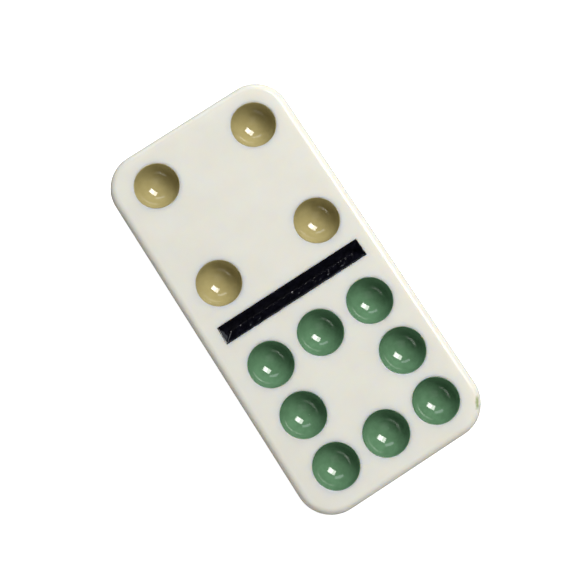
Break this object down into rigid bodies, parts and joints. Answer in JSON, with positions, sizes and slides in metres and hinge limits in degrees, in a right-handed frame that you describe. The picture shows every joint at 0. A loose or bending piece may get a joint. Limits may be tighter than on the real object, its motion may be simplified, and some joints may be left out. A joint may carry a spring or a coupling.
{
  "type": "domino tile",
  "caption": "Domino tile lying face up: an ivory resin slab with rounded edges, glossy enamelled bowl-shaped pips and a black V-groove centre bar.",
  "frame": {"origin": "centre of the flat underside, which rests on the table", "axes": "+Z leaves the pip face, +Y along the tile's length towards the four-pip half, +X along the centre bar"},
  "size_m": [0.0252, 0.0512, 0.0095],
  "materials": {
    "tile_resin": "warm ivory-white moulded resin, tumbled and polished, slightly translucent",
    "tan_enamel": "glossy tan enamel, brushed into the bowls",
    "green_enamel": "glossy mid-green enamel, brushed into the bowls",
    "black_enamel": "glossy blue-black enamel in the centre groove"
  },
  "bodies": {
    "root": {"tile_body": "tile_resin", "centre_bar": "black_enamel", "tan_pip_1": "tan_enamel", "tan_pip_2": "tan_enamel", "tan_pip_3": "tan_enamel", "tan_pip_4": "tan_enamel", "green_pip_1": "green_enamel", "green_pip_2": "green_enamel", "green_pip_3": "green_enamel", "green_pip_4": "green_enamel", "green_pip_5": "green_enamel", "green_pip_6": "green_enamel", "green_pip_7": "green_enamel", "green_pip_8": "green_enamel"}
  },
  "joints": []
}
